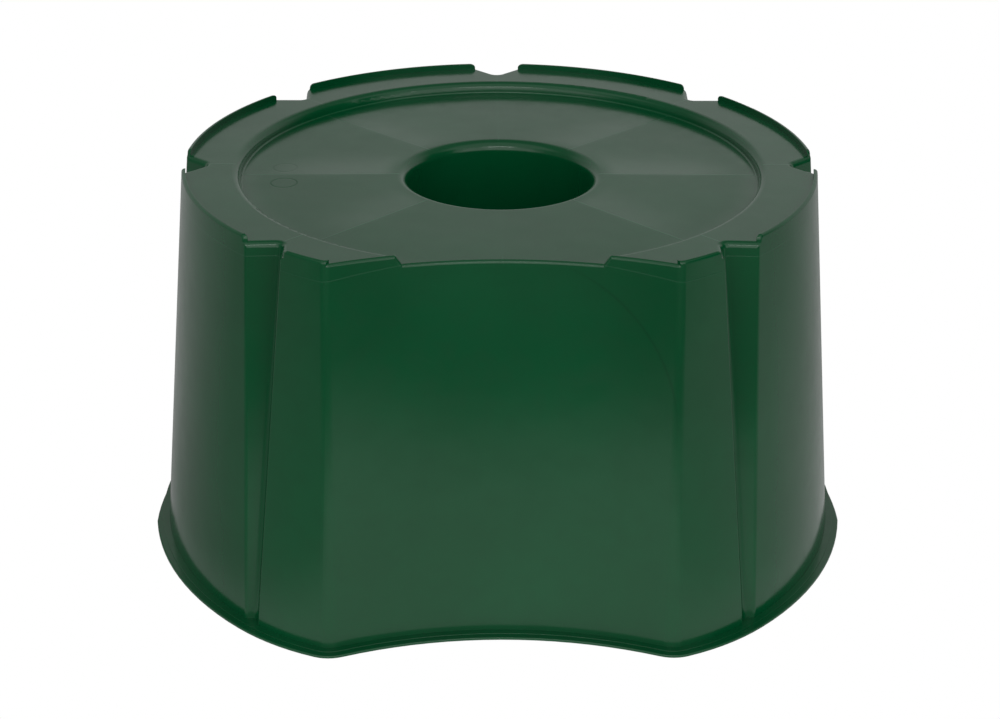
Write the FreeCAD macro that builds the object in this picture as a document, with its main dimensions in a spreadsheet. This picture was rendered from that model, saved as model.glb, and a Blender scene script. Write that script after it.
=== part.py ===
"""Rain barrel stand: a tapered, V-fluted plastic skirt on a flat foot flange, with a sunk round seat
on top, a thin rim and a scooped front.

The real stand is one hollow moulding. It is modelled here as its natural pieces: foot flange, wall
panels, flute walls, scoop wall, deck sectors, rim lips, recess step, recess floor, hole rim, centre
column and underside ribs. They meet face to face.

Frame: millimetres, +Z up, origin on the ground under the middle of the seat, scoop towards -Y.
Bearings are degrees from the front (-Y), counted towards +X.
"""
import FreeCAD, Part
import math
import os
import re
import Sketcher

from FreeCAD import Placement, Rotation, Vector

DIMENSIONS = {
    # Skirt: a cone with a foot radius and a rim radius.
    "foot_radius": 299.2,
    "rim_radius": 268.2,
    "rim_height": 329.4,
    "wall": 3.2,
    # Foot flange: a thicker inner tier all round, and a thin outer one that fades into it at the sides.
    "flange_reach": 10.8,
    "flange_height": 2.8,
    "flange_edge": 0.9,
    "flange_step_reach": 5.5,
    "flange_step_drop": 0.7,
    "flange_step_round": 0.3,
    "flange_fade_radius": 306.5,
    "flange_fade_centre": 30.7,
    # The front panels flatten towards the front corners at the foot.
    "flatten_bearing": 44.0,
    "flatten_radius": 192.0,
    "corner_bearing": 29.5,
    "lip_corner_bearing": 29.8,
    "corner_foot_radius": 20.0,
    "corner_rim_radius": 8.0,
    "corner_inside_radius": 4.8,
    # Scoop: an arc in plan at the foot and another at the rim, with centres in front of the stand.
    "scoop_foot_radius": 356.0,
    "scoop_foot_centre": 586.1,
    "scoop_rim_radius": 335.0,
    "scoop_rim_centre": 539.87,
    # Flutes: a V in plan whose apex leans in with height.
    "flute_half_angle": 44.0,
    "flute_foot_apex": 291.5,
    "flute_apex_lean": 0.13735,
    "flute_apex_round": 5.5,
    "flute_reach": 350.0,
    "flute_foot_half_width": 7.8,
    "flute_rim_half_width": 20.4,
    "arris_crisp": 1.8,
    "arris_soft": 4.0,
    # Levels: parting line, deck, recess floor.
    "parting_height": 313.0,
    "deck_height": 324.2,
    "floor_height": 314.5,
    "deck_edge_round": 5.0,
    # Recess step.
    "recess_radius": 219.7,
    "step_top_round": 7.0,
    "step_foot_round": 1.5,
    # The recess runs out to the scoop's edge through a notch with rounded corners.
    "notch_half_width": 83.0,
    "notch_start": 190.0,
    "notch_corner_round": 8.0,
    # Centre hole and column.
    "hole_radius": 79.0,
    "hole_edge_round": 9.0,
    "column_foot_radius": 74.0,
    # Rim lips.
    "lip_root_height": 322.4,
    "lip_outer_round": 2.6,
    "lip_inner_round": 0.4,
    "lip_end_round": 4.0,
    "lip_end_gap": 2.2,
    "scoop_lip_height": 326.8,
    "kerb_height": 319.5,
    "kerb_half_width": 76.5,
    "kerb_end_lean": 5.0,
    "scoop_lip_end_round": 2.5,
    # Underside ribs.
    "rib_thickness": 3.0,
    "rib_depth": 60.0,
    # Helper volumes, all larger than what they cut.
    "room_radius": 400.0,
    "seat_form_margin": 35.0,
    "flute_zone_depth": 70.0,
    "scoop_room_near": 150.0,
    "scoop_room_far": 350.0,
    # Lips have long edges along the wall and short ones at their ends.
    "long_edge": 20.0,
}

FLUTES = {
    "front_right": 43.2,
    "right": 88.8,
    "rear_right": 134.0,
    "rear": 180.0,
    "rear_left": 226.0,
    "left": 271.2,
    "front_left": 316.8,
}

LEVEL_TOLERANCE = 0.01
FLUTE_HALF_SPAN = 5.0

doc = FreeCAD.newDocument("BarrelStand")
sheet = doc.addObject("Spreadsheet::Sheet", "Dimensions")
nodes = []


def fill_sheet():
    for row, (alias, number) in enumerate(DIMENSIONS.items(), start=1):
        sheet.set(f"A{row}", alias)
        sheet.set(f"B{row}", str(number))
        sheet.setAlias(f"B{row}", alias)
    doc.recompute()


def formula(text):
    """The expression text with every dimension's word pointed at the sheet."""
    return re.sub(r"\b(?!deg\b)([a-z]\w*)\b(?!\s*\()", r"Dimensions.\1", text)


def number(text):
    """The present value of an expression, in millimetres or degrees."""
    result = sheet.evalExpression(formula(text))
    return float(getattr(result, "Value", result))


def add(kind, name, **expressions):
    """A document object whose properties are bound to the sheet."""
    piece = doc.addObject(kind, name)
    for prop, text in expressions.items():
        piece.setExpression(prop, formula(text))
    return piece


def place(piece, x="0", y="0", z="0", turn=0.0):
    """Set a piece's placement: bound offsets and a turn about Z in degrees."""
    piece.Placement = Placement(Vector(number(x), number(y), number(z)), Rotation(Vector(0, 0, 1), turn))
    for axis, text in zip("xyz", (x, y, z)):
        if text != "0":
            piece.setExpression(f"Placement.Base.{axis}", formula(text))
    return piece


def cut(name, base, tool):
    piece = doc.addObject("Part::Cut", name)
    piece.Base = base
    piece.Tool = tool
    return piece


def common(name, base, tool):
    piece = doc.addObject("Part::Common", name)
    piece.Base = base
    piece.Tool = tool
    return piece


def fuse(name, pieces):
    piece = doc.addObject("Part::MultiFuse", name)
    piece.Shapes = pieces
    return piece


def node(piece, label):
    piece.Label = label
    nodes.append(piece)
    return piece


def slab(name, low, high):
    """A wide flat box between two levels."""
    piece = add("Part::Box", name, Length="2 * room_radius", Width="2 * room_radius",
                Height=f"({high}) - ({low})")
    return place(piece, "-room_radius", "-room_radius", low)


def pie(name, low, high, start, stop):
    """A wedge of a cylinder between two bearings and two levels."""
    piece = add("Part::Cylinder", name, Radius="room_radius", Height=f"({high}) - ({low})")
    piece.Angle = stop - start
    return place(piece, z=low, turn=start - 90.0)


def fillet(name, base, *rounds):
    """Round the base's edges: each round is a radius and a test that picks its edges."""
    doc.recompute()
    piece = doc.addObject("Part::Fillet", name)
    piece.Base = base
    picked = []
    for radius, chosen in rounds:
        size = number(radius)
        picked += [(i, size, size) for i, edge in enumerate(base.Shape.Edges, start=1) if chosen(edge)]
    if not picked:
        raise RuntimeError(f"{name}: no edge to round")
    piece.Edges = picked
    doc.recompute()
    return piece


def middle(edge):
    return edge.valueAt((edge.FirstParameter + edge.LastParameter) / 2.0)


def flat_radius(point):
    return math.hypot(point.x, point.y)


# Plan outlines --------------------------------------------------------------------------------------

def circle_meet(centre_a, radius_a, centre_b, radius_b):
    """The meeting point of two circles with the larger x."""
    gap = centre_b - centre_a
    along = (gap.Length ** 2 + radius_a ** 2 - radius_b ** 2) / (2.0 * gap.Length)
    across = math.sqrt(radius_a ** 2 - along ** 2)
    ahead = Vector(gap).normalize()
    return centre_a + ahead * along + Vector(-ahead.y, ahead.x, 0) * across * (1 if ahead.y < 0 else -1)


def arc_between(centre, radius, start, stop):
    """A counter-clockwise arc between two points of its circle."""
    first = math.atan2(start.y - centre.y, start.x - centre.x)
    last = math.atan2(stop.y - centre.y, stop.x - centre.x)
    if last < first:
        last += 2.0 * math.pi
    return Part.ArcOfCircle(Part.Circle(centre, Vector(0, 0, 1), radius), first, last)


def mirrored(point):
    return Vector(-point.x, point.y, point.z)


def named(sketch, constraint, label, text):
    """Add a dimension to a sketch and bind it to the sheet."""
    index = sketch.addConstraint(constraint)
    sketch.renameConstraint(index, label)
    sketch.setExpression(f"Constraints.{label}", formula(text))


def outline(name, level, back, side, corner, scoop, scoop_centre):
    """The stand's outline at one level: back arc, two front arcs, two corner arcs and the scoop arc."""
    bearing = math.radians(number("flatten_bearing"))
    back_radius, side_radius, corner_radius = number(back), number(side), number(corner)
    scoop_radius = number(scoop)
    scoop_middle = Vector(0, -number(scoop_centre), 0)
    joint = Vector(math.sin(bearing), -math.cos(bearing), 0) * back_radius
    side_middle = joint * ((back_radius - side_radius) / back_radius)
    corner_middle = circle_meet(side_middle, side_radius - corner_radius,
                                scoop_middle, scoop_radius + corner_radius)
    side_end = side_middle + (corner_middle - side_middle).normalize() * side_radius
    scoop_end = scoop_middle + (corner_middle - scoop_middle).normalize() * scoop_radius

    sketch = place(doc.addObject("Sketcher::SketchObject", name), z=level)
    origin = Vector(0, 0, 0)
    back_arc = sketch.addGeometry(arc_between(origin, back_radius, joint, mirrored(joint)))
    left_side = sketch.addGeometry(
        arc_between(mirrored(side_middle), side_radius, mirrored(joint), mirrored(side_end)))
    left_corner = sketch.addGeometry(
        arc_between(mirrored(corner_middle), corner_radius, mirrored(side_end), mirrored(scoop_end)))
    scoop_arc = sketch.addGeometry(
        arc_between(scoop_middle, scoop_radius, scoop_end, mirrored(scoop_end)))
    right_corner = sketch.addGeometry(arc_between(corner_middle, corner_radius, scoop_end, side_end))
    right_side = sketch.addGeometry(arc_between(side_middle, side_radius, side_end, joint))

    start, stop, centre = 1, 2, 3
    joints = ((back_arc, stop, left_side, start), (left_side, stop, left_corner, start),
              (left_corner, stop, scoop_arc, stop), (scoop_arc, start, right_corner, start),
              (right_corner, stop, right_side, start), (right_side, stop, back_arc, start))
    for first, first_end, second, second_end in joints:
        sketch.addConstraint(Sketcher.Constraint("Tangent", first, first_end, second, second_end))
    sketch.addConstraint(Sketcher.Constraint("Coincident", back_arc, centre, -1, 1))
    sketch.addConstraint(Sketcher.Constraint("PointOnObject", scoop_arc, centre, -2))
    sketch.addConstraint(Sketcher.Constraint("Equal", left_side, right_side))
    sketch.addConstraint(Sketcher.Constraint("Equal", left_corner, right_corner))
    sketch.addConstraint(Sketcher.Constraint("Symmetric", back_arc, start, back_arc, stop, -2))
    named(sketch, Sketcher.Constraint("Radius", back_arc, back_radius), "back", back)
    named(sketch, Sketcher.Constraint("Radius", left_side, side_radius), "side", side)
    named(sketch, Sketcher.Constraint("Radius", left_corner, corner_radius), "corner", corner)
    named(sketch, Sketcher.Constraint("Radius", scoop_arc, scoop_radius), "scoop", scoop)
    named(sketch, Sketcher.Constraint("DistanceY", scoop_arc, centre, -1, 1, -scoop_middle.y),
          "scoop_centre", scoop_centre)
    named(sketch, Sketcher.Constraint("DistanceX", -1, 1, back_arc, start, joint.x),
          "flatten", f"({back}) * sin(flatten_bearing * 1 deg)")
    return sketch


def loft(name, foot, rim):
    """A straight-ruled solid between two outlines."""
    piece = doc.addObject("Part::Loft", name)
    piece.Sections = [foot, rim]
    piece.Solid = True
    piece.Ruled = True
    return piece


def flute_outline(name, level, apex, rounding):
    """A V in plan pointing at the axis, with a rounded apex, drawn on the +X side."""
    half = math.radians(number("flute_half_angle"))
    tip, size, reach = number(apex), number(rounding), number("flute_reach")
    centre_x = tip + size / math.sin(half)
    touch = Vector(centre_x - size * math.sin(half), size * math.cos(half), 0)
    end = Vector(reach, (reach - tip) * math.tan(half), 0)

    def below(point):
        return Vector(point.x, -point.y, 0)

    sketch = place(doc.addObject("Sketcher::SketchObject", name), z=level)
    upper = sketch.addGeometry(Part.LineSegment(touch, end))
    outer = sketch.addGeometry(Part.LineSegment(end, below(end)))
    lower = sketch.addGeometry(Part.LineSegment(below(end), below(touch)))
    apex_arc = sketch.addGeometry(arc_between(Vector(centre_x, 0, 0), size, touch, below(touch)))

    start, stop, centre = 1, 2, 3
    sketch.addConstraint(Sketcher.Constraint("Coincident", upper, stop, outer, start))
    sketch.addConstraint(Sketcher.Constraint("Coincident", outer, stop, lower, start))
    sketch.addConstraint(Sketcher.Constraint("Tangent", lower, stop, apex_arc, stop))
    sketch.addConstraint(Sketcher.Constraint("Tangent", apex_arc, start, upper, start))
    sketch.addConstraint(Sketcher.Constraint("PointOnObject", apex_arc, centre, -1))
    sketch.addConstraint(Sketcher.Constraint("Symmetric", outer, start, outer, stop, -1))
    named(sketch, Sketcher.Constraint("Angle", upper, half), "half_angle", "flute_half_angle * 1 deg")
    named(sketch, Sketcher.Constraint("Radius", apex_arc, size), "rounding", rounding)
    named(sketch, Sketcher.Constraint("DistanceX", -1, 1, apex_arc, centre, centre_x),
          "apex", f"{apex} + ({rounding}) / sin(flute_half_angle * 1 deg)")
    named(sketch, Sketcher.Constraint("DistanceX", -1, 1, outer, start, reach), "reach", "flute_reach")
    return sketch


def flute_cutters(name, shift, rounding):
    """Seven leaning V bars, moved towards the axis by the shift, ready to cut the flutes."""
    plan = flute_outline(f"{name}Plan", "0", f"flute_foot_apex - ({shift})", rounding)
    bars = []
    for place_name, bearing in FLUTES.items():
        bar = doc.addObject("Part::Extrusion", f"{name}_{place_name}")
        bar.Base = plan
        bar.DirMode = "Custom"
        bar.Dir = Vector(-number("flute_apex_lean"), 0, 1)
        bar.setExpression("Dir.x", formula("-flute_apex_lean"))
        bar.setExpression("LengthFwd", formula("rim_height * sqrt(1 + flute_apex_lean ^ 2)"))
        bar.Solid = True
        bar.Placement = Placement(Vector(0, 0, 0), Rotation(Vector(0, 0, 1), bearing - 90.0))
        bars.append(bar)
    return fuse(name, bars)


def bearing_of(point):
    """The bearing of a point, 0 to 360 degrees from the front, towards +X."""
    return math.degrees(math.atan2(point.x, -point.y)) % 360.0


def off_flute(point):
    """The nearest flute's bearing and how far past it the point lies, in degrees."""
    return min(((bearing, bearing_of(point) - bearing) for bearing in FLUTES.values()),
               key=lambda pair: abs(pair[1]))


def is_arris(edge, crisp):
    """True for the long edge of a flute on its front side (crisp) or its rear side (soft)."""
    ends = [vertex.Point for vertex in edge.Vertexes]
    if len(ends) < 2 or abs(ends[0].z - ends[1].z) < number("parting_height"):
        return False
    foot = min(ends, key=lambda point: point.z)
    bearing, past = off_flute(foot)
    on_cone = flat_radius(foot) > number("foot_radius - 1")
    front_side = past < 0 if bearing <= 180.0 else past > 0
    return on_cone and abs(past) < 3.0 and front_side == crisp


def lies_at(edge, level):
    """True for an edge whose ends and middle are at a level."""
    points = [vertex.Point for vertex in edge.Vertexes] + [middle(edge)]
    return all(abs(point.z - level) < LEVEL_TOLERANCE for point in points)


def flute_top_edge(level):
    """A test for the edges that a flute leaves in a flat top at a level."""
    def chosen(edge):
        point = middle(edge)
        inside = flat_radius(point) < number("rim_radius - wall")
        return lies_at(edge, level) and inside and abs(off_flute(point)[1]) < FLUTE_HALF_SPAN
    return chosen


def level_edge(level, smallest, largest):
    """A test for the edges at a level whose middle lies between two radii."""
    def chosen(edge):
        return lies_at(edge, level) and smallest < flat_radius(middle(edge)) < largest
    return chosen


def top_edge(level, shortest):
    """A test for the edges that lie at a level and are longer than a length."""
    def chosen(edge):
        return lies_at(edge, level) and edge.Length > shortest
    return chosen


def faces_out(edge):
    """True for an edge on the stand's outer face: the cone or the scoop."""
    point = middle(edge)
    rise = point.z / number("rim_height")
    cone = number("foot_radius") + rise * number("rim_radius - foot_radius")
    scoop = number("scoop_foot_radius") + rise * number("scoop_rim_radius - scoop_foot_radius")
    centre = number("scoop_foot_centre") + rise * number("scoop_rim_centre - scoop_foot_centre")
    half_wall = number("wall / 2")
    return flat_radius(point) > cone - half_wall \
        or math.hypot(point.x, point.y + centre) < scoop + half_wall


def lip_rounds(top):
    """The rounds of a lip's two long top edges: full outside, slight inside."""
    long_edge = top_edge(top, number("long_edge"))
    return (("lip_outer_round", lambda edge: long_edge(edge) and faces_out(edge)),
            ("lip_inner_round", lambda edge: long_edge(edge) and not faces_out(edge)))


# Forms that the pieces are cut from -----------------------------------------------------------------

fill_sheet()

outer_block = loft(
    "OuterBlock",
    outline("FootOutline", "0", "foot_radius", "flatten_radius", "corner_foot_radius",
            "scoop_foot_radius", "scoop_foot_centre"),
    outline("RimOutline", "rim_height", "rim_radius", "rim_radius", "corner_rim_radius",
            "scoop_rim_radius", "scoop_rim_centre"))
inner_block = loft(
    "InnerBlock",
    outline("FootInside", "0", "foot_radius - wall", "flatten_radius - wall",
            "corner_foot_radius - wall", "scoop_foot_radius + wall", "scoop_foot_centre"),
    outline("RimInside", "rim_height", "rim_radius - wall", "rim_radius - wall",
            "corner_inside_radius", "scoop_rim_radius + wall", "scoop_rim_centre"))

flute_bars = flute_cutters("FluteBars", "0", "flute_apex_round")
inside_bars = flute_cutters("InsideBars", "wall / sin(flute_half_angle * 1 deg)",
                            "flute_apex_round + wall")
lip_bars = flute_cutters("LipBars", "lip_end_gap / sin(flute_half_angle * 1 deg)",
                         "flute_apex_round + lip_end_gap")

sharp_form = cut("SharpForm", outer_block, flute_bars)
outer_form = fillet("OuterForm", sharp_form,
                    ("arris_soft", lambda edge: is_arris(edge, crisp=False)),
                    ("arris_crisp", lambda edge: is_arris(edge, crisp=True)))

hollow_sharp = common("HollowSharp", cut("HollowBlock", inner_block, inside_bars),
                      slab("HollowLevels", "0", "deck_height - wall"))
hollow = fillet("Hollow", hollow_sharp,
                ("deck_edge_round - wall", flute_top_edge(number("deck_height - wall"))))

# The seat's upper and under faces, from the deck in to the centre column.

def notched(name, radius, half_width, low, high):
    """A disc between two levels with a straight-sided notch out towards the scoop."""
    disc = place(add("Part::Cylinder", f"{name}Disc", Radius=radius, Height=f"({high}) - ({low})"), z=low)
    notch = add("Part::Box", f"{name}Notch", Length=f"2 * ({half_width})", Width="room_radius",
                Height=f"({high}) - ({low})")
    place(notch, f"-({half_width})", "-notch_start - room_radius", low)
    return fuse(name, [disc, notch])


def notch_corner(edge):
    """True for the upright edges where the notch leaves the recess's circle."""
    ends = [vertex.Point for vertex in edge.Vertexes]
    upright = len(ends) == 2 and abs(ends[0].z - ends[1].z) > 1.0
    radius = flat_radius(middle(edge))
    return upright and abs(radius - number("recess_radius")) < number("2 * wall") \
        and abs(middle(edge).x) > 1.0 and middle(edge).y < 0.0


def seat_side(name, drop):
    """The solid under the seat's upper face, or under its lower face when dropped by the wall."""
    reach = number("recess_radius + seat_form_margin - 1")
    deck, floor, hole = (number(f"{word} - ({drop})") for word in
                         ("deck_height", "floor_height", "hole_radius + 2 * hole_edge_round"))
    disc = add("Part::Cylinder", f"{name}Disc", Radius="recess_radius + seat_form_margin",
               Height=f"deck_height - ({drop})")
    pan = notched(f"{name}Pan", f"recess_radius + ({drop})", f"notch_half_width + ({drop})",
                  f"floor_height - ({drop})", "rim_height")
    bore = add("Part::Cone", f"{name}Bore", Radius1=f"column_foot_radius + ({drop})",
               Radius2=f"hole_radius + ({drop})", Height="floor_height")
    body = fillet(f"{name}Corners", cut(f"{name}Panned", disc, pan),
                  (f"notch_corner_round - ({drop})", notch_corner))
    body = cut(f"{name}Body", body, bore)
    body = fillet(f"{name}Stepped", body,
                  (f"step_top_round - ({drop})", level_edge(deck, hole, reach)))
    return fillet(name, body,
                  (f"step_foot_round + ({drop})", level_edge(floor, hole, reach)),
                  (f"hole_edge_round - ({drop})", level_edge(floor, 0.0, hole)))


seat_top = seat_side("SeatTop", "0")
seat_under = seat_side("SeatUnder", "wall")
seat_skin = common("SeatSkin", cut("SeatShell", seat_top, seat_under), inner_block)
seat_zone = notched("SeatZone", "recess_radius + step_top_round", "notch_half_width + step_top_round",
                    "0", "rim_height")

# The floor stops short of the scoop's leaning edge, and the recess step's ring closes along it.
level_part = "floor_height / rim_height"
scoop_foot = add("Part::Cylinder", "ScoopFoot", Height="rim_height",
                 Radius="scoop_foot_radius + (scoop_rim_radius - scoop_foot_radius) * "
                        f"{level_part} + wall + step_foot_round")
place(scoop_foot, y=f"-scoop_foot_centre - (scoop_rim_centre - scoop_foot_centre) * {level_part}")
floor_zone = cut("FloorZone",
                 notched("FloorRoom", "recess_radius - step_foot_round",
                         "notch_half_width - step_foot_round", "0", "rim_height"), scoop_foot)

skirt_wall = common("SkirtWall", cut("WallBand", outer_form, hollow),
                    slab("SkirtLevels", "flange_height", "parting_height"))


def flute_zone(place_name, bearing):
    """The leaning strip of wall that one flute takes up."""
    near = "foot_radius - flute_zone_depth"
    zone = add("Part::Wedge", f"FluteZone_{place_name}", Ymin="0", Ymax="rim_height",
               Xmin=near, Xmax="flute_reach", X2min=near, X2max="flute_reach",
               Zmin="-flute_foot_half_width", Zmax="flute_foot_half_width",
               Z2min="-flute_rim_half_width", Z2max="flute_rim_half_width")
    upright = Rotation(Vector(1, 0, 0), 90.0)
    zone.Placement = Placement(Vector(0, 0, 0), Rotation(Vector(0, 0, 1), bearing - 90.0) * upright)
    return zone


flute_zones = {name: flute_zone(name, bearing) for name, bearing in FLUTES.items()}
plain_skirt = cut("PlainSkirt", skirt_wall, fuse("FluteZones", list(flute_zones.values())))

corner = DIMENSIONS["corner_bearing"]
lip_corner = DIMENSIONS["lip_corner_bearing"]
stops = [corner] + list(FLUTES.values()) + [360.0 - corner]
SECTORS = dict(zip(
    ("front_right", "right_fore", "right_aft", "rear_right",
     "rear_left", "left_aft", "left_fore", "front_left"),
    zip(stops[:-1], stops[1:])))


# Foot flange ----------------------------------------------------------------------------------------

def flange_tier(name, reach, height):
    """A flat plate that reaches out beyond the skirt's foot."""
    plate = doc.addObject("Part::Extrusion", name)
    plate.Base = outline(f"{name}Outline", "0", f"foot_radius + {reach}", f"flatten_radius + {reach}",
                         f"corner_foot_radius + {reach}", f"scoop_foot_radius - {reach}",
                         "scoop_foot_centre")
    plate.DirMode = "Custom"
    plate.Dir = Vector(0, 0, 1)
    plate.setExpression("LengthFwd", formula(height))
    plate.Solid = True
    return plate


def make_flange():
    """The foot flange: two tiers with rounded edges, open inside."""
    trim = add("Part::Cylinder", "FlangeFade", Radius="flange_fade_radius", Height="rim_height")
    place(trim, "0", "-flange_fade_centre")
    low = "flange_height - flange_step_drop"
    outer = common("FlangeFaded", flange_tier("FlangeOuter", "flange_reach", low), trim)
    outer = fillet("FlangeOuterEdge", outer, ("flange_edge", top_edge(number(low), 0.0)))
    inner = flange_tier("FlangeInner", "flange_step_reach", "flange_height")
    inner = fillet("FlangeInnerEdge", inner,
                   ("flange_step_round", top_edge(number("flange_height"), 0.0)))
    node(cut("BaseFlange", fuse("FlangeTiers", [outer, inner]), hollow), "base_flange")


# Skirt ----------------------------------------------------------------------------------------------

def make_skirt():
    for name, (start, stop) in SECTORS.items():
        zone = pie(f"PanelZone_{name}", "0", "rim_height", start, stop)
        node(common(f"Panel_{name}", plain_skirt, zone), f"skirt_panel_{name}")
    for name, zone in flute_zones.items():
        node(common(f"Flute_{name}", skirt_wall, zone), f"flute_{name}")
    scoop_zone = pie("ScoopZone", "0", "rim_height", -corner, corner)
    node(common("ScoopWall", plain_skirt, scoop_zone), "scoop_wall")


# Rim lips -------------------------------------------------------------------------------------------

def lip_end_edge(edge):
    """True for a lip's short top edge beside a flute."""
    short = edge.Length < number("2 * wall")
    beside = abs(off_flute(middle(edge))[1]) < 1.5 * FLUTE_HALF_SPAN
    return lies_at(edge, number("rim_height")) and short and beside


def rim_band(name, form, low, high):
    """The upright band along the outline, one wall thick, between two levels."""
    band = common(f"{name}Form", form, slab(f"{name}Levels", low, high))
    return cut(name, band, inner_block)


def make_rim_lips():
    """The outer lips, one over each sector."""
    form = cut("LipForm", outer_block, lip_bars)
    ring = rim_band("LipBand", form, "lip_root_height", "rim_height")
    lips = {}
    for name, (start, stop) in SECTORS.items():
        low = lip_corner if name == "front_right" else start
        high = 360.0 - lip_corner if name == "front_left" else stop
        zone = pie(f"LipZone_{name}", "0", "rim_height", low, high)
        blank = common(f"LipBlank_{name}", ring, zone)
        ends = fillet(f"LipEnds_{name}", blank, ("lip_end_round", lip_end_edge))
        lip = fillet(f"RimLip_{name}", ends, *lip_rounds(number("rim_height")))
        lips[name] = node(lip, f"rim_lip_{name}")
    return lips


# Scoop edge -----------------------------------------------------------------------------------------

def across_box(name, half_width, low, high):
    """A box over the scoop's edge, centred on the plane of symmetry."""
    box = add("Part::Box", name, Length=f"2 * ({half_width})", Width="scoop_room_far - scoop_room_near",
              Height=f"({high}) - ({low})")
    return place(box, f"-({half_width})", "-scoop_room_far", low)


def make_scoop_edge():
    """The low kerb in the middle of the scoop and a taller lip on each side of it."""
    ring = rim_band("ScoopRing", sharp_form, "parting_height", "scoop_lip_height")
    band = common("ScoopBand", ring, pie("ScoopBandZone", "0", "rim_height", -lip_corner, lip_corner))
    kerb_box = across_box("KerbBox", "kerb_half_width", "parting_height", "kerb_height")
    kerb = fillet("Kerb", common("KerbBlank", band, kerb_box), *lip_rounds(number("kerb_height")))
    node(kerb, "scoop_kerb")

    def gap_end_edge(edge):
        short = edge.Length < number("2 * wall")
        beside = abs(middle(edge).x) < number("kerb_half_width + 2 * kerb_end_lean")
        return lies_at(edge, number("scoop_lip_height")) and short and beside

    near, far = "scoop_room_near", "scoop_room_far"
    gap = add("Part::Wedge", "KerbGap", Xmin="-kerb_half_width", Xmax="kerb_half_width",
              X2min="-kerb_half_width - kerb_end_lean", X2max="kerb_half_width + kerb_end_lean",
              Ymin="kerb_height", Ymax="scoop_lip_height", Zmin=near, Zmax=far, Z2min=near, Z2max=far)
    gap.Placement = Placement(Vector(0, 0, 0), Rotation(Vector(1, 0, 0), 90.0))
    lips = cut("ScoopLips", cut("ScoopLipsLow", band, kerb_box), gap)
    for name, start, stop in (("right", 0.0, lip_corner), ("left", -lip_corner, 0.0)):
        zone = pie(f"ScoopLipZone_{name}", "0", "rim_height", start, stop)
        blank = common(f"ScoopLipBlank_{name}", lips, zone)
        end = fillet(f"ScoopLipEnd_{name}", blank, ("scoop_lip_end_round", gap_end_edge))
        lip = fillet(f"ScoopLip_{name}", end, *lip_rounds(number("scoop_lip_height")))
        node(lip, f"scoop_lip_{name}")


# Deck, seat and column ------------------------------------------------------------------------------

def make_deck(lips):
    """The deck's sectors, from the parting line up, cut to the lips that stand on them."""
    block = common("DeckBlock", sharp_form, slab("DeckLevels", "parting_height", "deck_height"))
    rounded = fillet("DeckRounded", block,
                     ("deck_edge_round", flute_top_edge(number("deck_height"))))
    shell = common("DeckShell", cut("DeckHollowed", rounded, hollow), outer_form)
    edge_ring = rim_band("EdgeRing", outer_block, "parting_height", "rim_height")
    scoop_band = common("DeckScoopBand", edge_ring,
                        pie("DeckScoopZone", "0", "rim_height", -lip_corner, lip_corner))
    ring = cut("DeckRing", cut("DeckOpened", shell, seat_zone), scoop_band)
    for name, (start, stop) in SECTORS.items():
        low = 0.0 if name == "front_right" else start
        high = 360.0 if name == "front_left" else stop
        zone = pie(f"DeckZone_{name}", "0", "rim_height", low, high)
        sector = common(f"DeckSector_{name}", ring, zone)
        node(cut(f"Deck_{name}", sector, lips[name]), f"deck_{name}")


def make_seat():
    """The recess step, the recess floor, the hole's rounded rim and the centre column."""
    rim = add("Part::Cylinder", "HoleRimRoom", Radius="hole_radius + hole_edge_round", Height="rim_height")
    neck = slab("NeckLevels", "floor_height - hole_edge_round", "rim_height")
    node(cut("RecessStep", common("StepRing", seat_skin, seat_zone), floor_zone), "recess_step")
    node(cut("RecessFloor", common("FloorDisc", seat_skin, floor_zone), rim), "recess_floor")
    tube = common("HoleTube", seat_skin, rim)
    node(common("HoleRim", tube, neck), "hole_rim")
    node(cut("CentreColumn", tube, neck), "centre_column")


def make_ribs():
    """Upright ribs under the recess floor, from the column out to each flute and to the scoop wall."""
    air = common("UndersideAir", seat_under, hollow)
    for name, bearing in {"front": 0.0, **FLUTES}.items():
        plate = add("Part::Box", f"RibPlate_{name}", Length="foot_radius", Width="rib_thickness",
                    Height="rib_depth")
        turn = Rotation(Vector(0, 0, 1), bearing - 90.0)
        low = number("floor_height - wall - rib_depth")
        offset = turn.multVec(Vector(0, -number("rib_thickness") / 2.0, 0))
        plate.Placement = Placement(Vector(offset.x, offset.y, low), turn)
        node(common(f"Rib_{name}", air, plate), f"rib_{name}")


# Build, check and write -----------------------------------------------------------------------------

def check():
    """Stop if any object failed to build or any piece is not one valid solid."""
    doc.recompute()
    failed = [item.Name for item in doc.Objects if {"Invalid", "Error"} & set(item.State)]
    if failed:
        raise RuntimeError(f"failed objects: {failed}")
    for piece in nodes:
        shape = piece.Shape
        if shape.isNull() or not shape.isValid() or len(shape.Solids) != 1:
            raise RuntimeError(f"{piece.Label} is not one valid solid")


def write():
    """Write each piece's shape to a file named after the piece."""
    os.makedirs("parts", exist_ok=True)
    for piece in nodes:
        piece.Shape.exportStep(f"parts/{piece.Label}.step")


make_flange()
make_skirt()
rim_lips = make_rim_lips()
make_scoop_edge()
make_deck(rim_lips)
make_seat()
make_ribs()
check()
write()
print(f"{len(nodes)} pieces")
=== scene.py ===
"""The rain barrel stand's looks: satin green moulded plastic on a pale floor in soft studio light."""

import math

import bpy
from mathutils import Matrix, Vector


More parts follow.
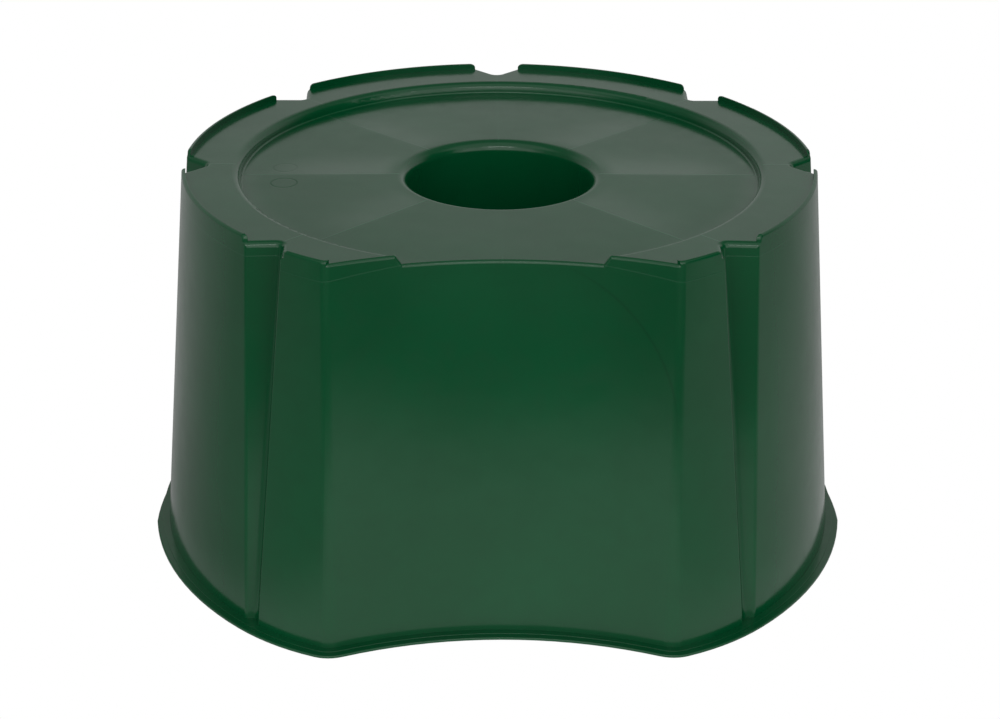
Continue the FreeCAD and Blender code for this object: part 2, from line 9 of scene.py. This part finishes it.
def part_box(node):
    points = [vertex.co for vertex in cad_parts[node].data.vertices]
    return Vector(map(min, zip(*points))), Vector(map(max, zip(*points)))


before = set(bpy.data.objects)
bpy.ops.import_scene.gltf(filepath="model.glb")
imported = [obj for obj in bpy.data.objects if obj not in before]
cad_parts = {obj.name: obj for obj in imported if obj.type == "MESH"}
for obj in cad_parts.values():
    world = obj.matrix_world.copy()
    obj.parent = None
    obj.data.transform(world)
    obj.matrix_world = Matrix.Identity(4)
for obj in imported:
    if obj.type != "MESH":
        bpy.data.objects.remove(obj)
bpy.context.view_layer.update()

# Levels and radii of the stand, in metres, from the frame.
FLOOR_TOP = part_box("recess_floor")[1].z
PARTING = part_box("scoop_wall")[1].z
HOLE_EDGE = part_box("hole_rim")[1].x
STEP_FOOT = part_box("recess_floor")[1].x

# The weld lines in the seat, one per flute and a fainter one in front: bearing from the scoop's middle, in
# degrees, and strength.
WELD_LINES = ((0.0, 0.35), (43.2, 1.0), (88.8, 1.0), (134.0, 1.0),
              (180.0, 0.8), (226.0, 1.0), (271.2, 1.0), (316.8, 1.0))
WELD_WIDTH = 0.0006
STREAK_WIDTH = 0.032
SIDE_BLUR = 0.005

# The parting line rises along the scoop, from its corners to its kerb.
SCOOP_CORNER_X = 0.134
KERB_END_X = 0.080
PARTING_AT_KERB = 0.3187
PARTING_WIDTH = 0.00035

# Blank mould marks on the seat: centre x, centre y and radius.
MOULD_MARKS = ((-0.184, 0.012, 0.010), (-0.182, -0.025, 0.011))
MARK_WIDTH = 0.0008

# The plastic's flow front left a faint ring on the scoop wall: its centre's height and its radius.
FLOW_HEIGHT = 0.1896
FLOW_RADIUS = 0.1352
FLOW_WIDTH = 0.0010

# The plastic's greens. Its gloss is the shader's specular level: less on the seat and in a mark, more in a
# streak.
DEEP_GREEN = (0.0008, 0.074, 0.0230, 1.0)
FRESH_GREEN = (0.0012, 0.087, 0.0280, 1.0)
MOTTLE_GREEN = (0.0006, 0.062, 0.0195, 1.0)
DARK_GREEN = (0.0004, 0.040, 0.012, 1.0)
SCUFF_GREEN = (0.05, 0.15, 0.09, 1.0)
# The weld and parting lines' colour: their own faint mark, lightened by a painted highlight along each line.
LINE_HIGHLIGHT_GREEN = (0.06, 0.20, 0.12, 1.0)
SKIN_GLOSS = 0.47
STREAK_GLOSS = 0.64
SEAT_DULLNESS = 0.15
MARK_DULLNESS = 0.22

# The relief of each detail, in metres, for the bump.
WELD_RELIEF = 0.00006
SEAM_RELIEF = 0.00005
MARK_RELIEF = 0.00010
CLOUD_RELIEF = 0.0012
MOTTLE_RELIEF = 0.00002
GRAIN_RELIEF = 0.000002

# The studio's brightness, as the stand sees it. The floor: left, middle and right of the stand, the dim part
# in front of them, the room beyond it and the part behind the stand. The world: near the level, then
# higher up.
FLOOR_LEFT, FLOOR_MIDDLE, FLOOR_RIGHT = 0.27, 0.64, 0.43
FLOOR_DIM, FLOOR_FAR, FLOOR_BEHIND = 0.08, 0.20, 0.36
WORLD_LEFT, WORLD_RIGHT = 0.215, 0.02
WORLD_FRONT, WORLD_BEHIND, WORLD_BEHIND_LEFT = 1.40, 0.66, 0.58
WORLD_HIGH_FRONT, WORLD_HIGH_BEHIND = 0.83, 0.215


# Node helpers ---------------------------------------------------------------------------------------

class Graph:
    """Short calls for building a node tree."""

    def __init__(self, tree):
        self.tree = tree
        self.tree.nodes.clear()

    def node(self, kind, **settings):
        made = self.tree.nodes.new(kind)
        for key, value in settings.items():
            setattr(made, key, value)
        return made

    def feed(self, socket, value):
        if isinstance(value, bpy.types.NodeSocket):
            self.tree.links.new(value, socket)
        else:
            socket.default_value = value

    def math(self, operation, a, b=0.0, c=0.0, clamp=False):
        made = self.node("ShaderNodeMath", operation=operation, use_clamp=clamp)
        for socket, value in zip(made.inputs, (a, b, c)):
            self.feed(socket, value)
        return made.outputs[0]

    def product(self, first, *others):
        for other in others:
            first = self.math("MULTIPLY", first, other)
        return first

    def total(self, first, *others):
        for other in others:
            first = self.math("ADD", first, other)
        return first

    def split(self, vector):
        made = self.node("ShaderNodeSeparateXYZ")
        self.feed(made.inputs[0], vector)
        return made.outputs

    def noise(self, vector, scale, detail=2.0, roughness=0.5):
        made = self.node("ShaderNodeTexNoise")
        self.feed(made.inputs["Vector"], vector)
        self.feed(made.inputs["Scale"], scale)
        self.feed(made.inputs["Detail"], detail)
        self.feed(made.inputs["Roughness"], roughness)
        return made.outputs["Fac"]

    def remap(self, value, low, high, to_low=0.0, to_high=1.0, smooth=True):
        made = self.node("ShaderNodeMapRange", clamp=True)
        made.interpolation_type = "SMOOTHSTEP" if smooth else "LINEAR"
        for socket, number in zip(made.inputs, (value, low, high, to_low, to_high)):
            self.feed(socket, number)
        return made.outputs[0]

    def between(self, factor, first, second):
        """A number that goes from the first to the second as the factor goes from 0 to 1."""
        made = self.node("ShaderNodeMix", data_type="FLOAT")
        self.feed(made.inputs[0], factor)
        self.feed(made.inputs[2], first)
        self.feed(made.inputs[3], second)
        return made.outputs[0]

    def mix(self, factor, first, second):
        made = self.node("ShaderNodeMix", data_type="RGBA")
        self.feed(made.inputs[0], factor)
        self.feed(made.inputs[6], first)
        self.feed(made.inputs[7], second)
        return made.outputs[2]

    def bell(self, offset, width):
        """1 on a line and falling smoothly to 0 about two widths away from it."""
        ratio = self.math("DIVIDE", offset, width)
        return self.math("EXPONENT", self.math("MULTIPLY", self.math("MULTIPLY", ratio, ratio), -1.0))


# Plastic --------------------------------------------------------------------------------------------

def weld_lines(g, x, y, radius):
    """The fine lines where the plastic's flows met, and the glossier streaks on their rear sides."""
    fine = streaks = 0.0
    for bearing, strength in WELD_LINES:
        east = math.sin(math.radians(bearing))
        south = math.cos(math.radians(bearing))
        along = g.math("SUBTRACT", g.math("MULTIPLY", x, east), g.math("MULTIPLY", y, south))
        across = g.math("ADD", g.math("MULTIPLY", x, south), g.math("MULTIPLY", y, east))
        ahead = g.remap(along, 0.0, 0.02)
        fine = g.math("ADD", fine, g.product(ahead, strength, g.bell(across, WELD_WIDTH)))
        glare = east * abs(east)
        side = g.remap(across, -SIDE_BLUR, SIDE_BLUR, max(0.0, -glare), max(0.0, glare))
        streaks = g.math("ADD", streaks, g.product(ahead, side, g.bell(across, STREAK_WIDTH)))
    seat = g.math("MULTIPLY", g.remap(radius, HOLE_EDGE, HOLE_EDGE + 0.015),
                  g.remap(radius, STEP_FOOT - 0.07, STEP_FOOT, 1.0, 0.0))
    return fine, g.math("MULTIPLY", streaks, seat)


def parting_line(g, x, y, z):
    """The seam that the mould's halves left round the skirt, just below the deck."""
    rise = g.remap(g.math("ABSOLUTE", x), KERB_END_X, SCOOP_CORNER_X, PARTING_AT_KERB, PARTING, smooth=False)
    level = g.between(g.remap(y, -0.15, -0.10), rise, PARTING)
    return g.bell(g.math("SUBTRACT", z, level), PARTING_WIDTH)


def mould_marks(g, x, y):
    """Blank rings on the seat."""
    rings = 0.0
    for mark_x, mark_y, mark_radius in MOULD_MARKS:
        away_x = g.math("SUBTRACT", x, mark_x)
        away_y = g.math("SUBTRACT", y, mark_y)
        away = g.math("SQRT", g.total(g.product(away_x, away_x), g.product(away_y, away_y)))
        rings = g.math("ADD", rings, g.bell(g.math("SUBTRACT", away, mark_radius), MARK_WIDTH))
    return rings


def flow_front(g, x, y, z):
    """A faint arc on the right of the scoop wall."""
    lift = g.math("SUBTRACT", z, FLOW_HEIGHT)
    away = g.math("SQRT", g.total(g.product(x, x), g.product(lift, lift)))
    ring = g.bell(g.math("SUBTRACT", away, FLOW_RADIUS), FLOW_WIDTH)
    return g.product(ring, g.remap(y, -0.17, -0.20), g.remap(x, 0.03, 0.09), g.remap(lift, -0.02, 0.05))


def green_plastic():
    """Dark green polypropylene with a satin skin."""
    material = bpy.data.materials.new("green_plastic")
    material.use_nodes = True
    g = Graph(material.node_tree)
    place = g.node("ShaderNodeTexCoord").outputs["Object"]
    x, y, z = g.split(place)
    radius = g.math("SQRT", g.total(g.product(x, x), g.product(y, y)))
    normal_z = g.split(g.node("ShaderNodeNewGeometry").outputs["Normal"])[2]
    level_part = g.remap(normal_z, 0.90, 0.98)
    wall_part = g.remap(normal_z, 0.60, 0.40)
    high_part = g.remap(z, FLOOR_TOP - 0.002, FLOOR_TOP - 0.001)

    fine, streaks = weld_lines(g, x, y, radius)
    top_part = g.math("MULTIPLY", level_part, high_part)
    fine = g.math("MULTIPLY", fine, top_part)
    streaks = g.math("MULTIPLY", streaks, top_part)
    seam = g.math("MULTIPLY", parting_line(g, x, y, z), wall_part)
    marks = g.math("MULTIPLY", mould_marks(g, x, y), top_part)
    flow = flow_front(g, x, y, z)

    clouds = g.noise(place, 7.0, 3.0)
    grain = g.noise(place, 900.0, 2.0)
    mottle = g.noise(place, 60.0, 4.0, 0.6)
    green = g.mix(g.remap(clouds, 0.3, 0.7), DEEP_GREEN, FRESH_GREEN)
    green = g.mix(g.remap(mottle, 0.35, 0.75, 0.0, 0.25), green, MOTTLE_GREEN)
    scuffs = g.remap(g.noise(place, 380.0, 5.0, 0.75), 0.66, 0.80, 0.0, 0.10)
    green = g.mix(scuffs, green, SCUFF_GREEN)
    # Painted highlight: the weld lines and the parting line are mixed towards a lighter green, standing in
    # for the glint along each real line.
    line_highlights = g.math("ADD", g.math("MULTIPLY", fine, 0.24), g.math("MULTIPLY", seam, 0.10), clamp=True)
    green = g.mix(line_highlights, green, LINE_HIGHLIGHT_GREEN)
    dark_lines = g.math("ADD", g.math("MULTIPLY", flow, 0.35), g.math("MULTIPLY", marks, 0.20), clamp=True)
    green = g.mix(dark_lines, green, DARK_GREEN)

    seat = g.math("MULTIPLY", top_part, g.remap(radius, STEP_FOOT - 0.02, STEP_FOOT, 1.0, 0.0))
    gloss = g.total(SKIN_GLOSS,
                    g.math("MULTIPLY", seat, -SEAT_DULLNESS),
                    g.math("MULTIPLY", streaks, STREAK_GLOSS),
                    g.math("MULTIPLY", marks, -MARK_DULLNESS))

    height = g.total(g.math("MULTIPLY", fine, WELD_RELIEF),
                     g.math("MULTIPLY", seam, SEAM_RELIEF),
                     g.math("MULTIPLY", marks, -MARK_RELIEF),
                     g.math("MULTIPLY", clouds, CLOUD_RELIEF),
                     g.math("MULTIPLY", mottle, MOTTLE_RELIEF),
                     g.math("MULTIPLY", grain, GRAIN_RELIEF))
    relief = g.node("ShaderNodeBump")
    relief.inputs["Distance"].default_value = 1.0
    g.feed(relief.inputs["Height"], height)

    shader = g.node("ShaderNodeBsdfPrincipled")
    g.feed(shader.inputs["Base Color"], green)
    g.feed(shader.inputs["Roughness"], g.remap(mottle, 0.3, 0.7, 0.15, 0.20))
    g.feed(shader.inputs["Specular IOR Level"], gloss)
    g.feed(shader.inputs["Normal"], relief.outputs[0])
    shader.inputs["IOR"].default_value = 1.5
    out = g.node("ShaderNodeOutputMaterial")
    g.feed(out.inputs["Surface"], shader.outputs[0])
    return material


plastic = green_plastic()
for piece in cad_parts.values():
    piece.data.materials.clear()
    piece.data.materials.append(plastic)


# Stage, light and camera ----------------------------------------------------------------------------

def seen_white(g, glow):
    """A surface that looks white by itself and lights the stand by its own glow."""
    seen = g.node("ShaderNodeLightPath").outputs["Is Camera Ray"]
    return g.between(seen, glow, 1.0)


def make_floor():
    """A white light table: bright round the stand, ending in front of it, with the dim room beyond."""
    bpy.ops.mesh.primitive_plane_add(size=60.0, location=(0.0, 0.0, -0.0005))
    ground = bpy.context.object
    ground.name = "studio_floor"
    material = bpy.data.materials.new("studio_floor")
    material.use_nodes = True
    g = Graph(material.node_tree)
    x, y, _ = g.split(g.node("ShaderNodeTexCoord").outputs["Object"])
    near = g.math("ADD", g.remap(x, -0.35, -0.15, FLOOR_LEFT, FLOOR_MIDDLE),
                  g.remap(x, 0.15, 0.35, 0.0, FLOOR_RIGHT - FLOOR_MIDDLE))
    front = g.between(g.remap(y, -0.95, -0.55), FLOOR_DIM, near)
    front = g.between(g.remap(y, -1.50, -0.95), FLOOR_FAR, front)
    glow = g.between(g.remap(y, -0.10, 0.30), front, FLOOR_BEHIND)
    shader = g.node("ShaderNodeEmission")
    g.feed(shader.inputs["Strength"], seen_white(g, glow))
    out = g.node("ShaderNodeOutputMaterial")
    g.feed(out.inputs["Surface"], shader.outputs[0])
    ground.data.materials.append(material)


def make_world():
    """The studio round the stand: brightest behind the camera, pale behind the stand, dark at the sides."""
    world = bpy.data.worlds.new("studio")
    world.use_nodes = True
    g = Graph(world.node_tree)
    x, y, z = g.split(g.node("ShaderNodeTexCoord").outputs["Generated"])
    sides = g.remap(x, -0.2, 0.2, WORLD_LEFT, WORLD_RIGHT)
    behind = g.remap(x, -0.15, 0.02, WORLD_BEHIND_LEFT, WORLD_BEHIND)
    low = g.between(g.remap(y, -0.8, -0.5), WORLD_FRONT, sides)
    low = g.between(g.remap(y, 0.1, 0.5), low, behind)
    high = g.remap(y, -0.2, 0.2, WORLD_HIGH_FRONT, WORLD_HIGH_BEHIND)
    glow = g.between(g.remap(z, 0.55, 0.75), low, high)
    background = g.node("ShaderNodeBackground")
    g.feed(background.inputs["Strength"], seen_white(g, glow))
    out = g.node("ShaderNodeOutputWorld")
    g.feed(out.inputs["Surface"], background.outputs[0])
    bpy.context.scene.world = world
    bpy.context.scene.view_settings.view_transform = "Standard"


# Each soft box: name, bearing from the front, elevation, distance, width, height and brightness.
SOFT_BOXES = (
    ("key", 0.0, 43.0, 2.2, 1.2, 0.18, 5.60),
    ("fill", 0.0, 18.0, 2.4, 1.4, 0.8, 0.316),
    ("fore_left", -50.0, 30.0, 2.4, 0.9, 1.4, 0.203),
    ("fore_right", 50.0, 30.0, 2.4, 0.9, 1.4, 0.60),
)


def make_soft_boxes():
    aim = Vector((0.0, 0.0, 0.2))
    for name, bearing, elevation, distance, width, height, brightness in SOFT_BOXES:
        turn, tilt = math.radians(bearing), math.radians(elevation)
        way = Vector((math.sin(turn) * math.cos(tilt), -math.cos(turn) * math.cos(tilt), math.sin(tilt)))
        light = bpy.data.lights.new(name, "AREA")
        light.shape = "RECTANGLE"
        light.size = width
        light.size_y = height
        light.energy = math.pi * width * height * brightness
        box = bpy.data.objects.new(name, light)
        box.location = aim + way * distance
        box.rotation_euler = (-way).to_track_quat("-Z", "Y").to_euler()
        bpy.context.scene.collection.objects.link(box)


def make_camera():
    camera = bpy.data.objects.new("camera", bpy.data.cameras.new("camera"))
    bpy.context.scene.collection.objects.link(camera)
    camera.data.sensor_width = 36.0
    camera.data.lens = 72.14
    camera.location = (-0.02254, -1.61439, 0.90849)
    aim = Matrix.Rotation(math.radians(-0.847), 4, "Z") @ Matrix.Rotation(math.radians(64.483), 4, "X")
    aim = aim @ Matrix.Rotation(math.radians(0.360), 4, "Z")
    camera.rotation_euler = aim.to_euler()
    bpy.context.scene.camera = camera


make_floor()
make_world()
make_soft_boxes()
make_camera()
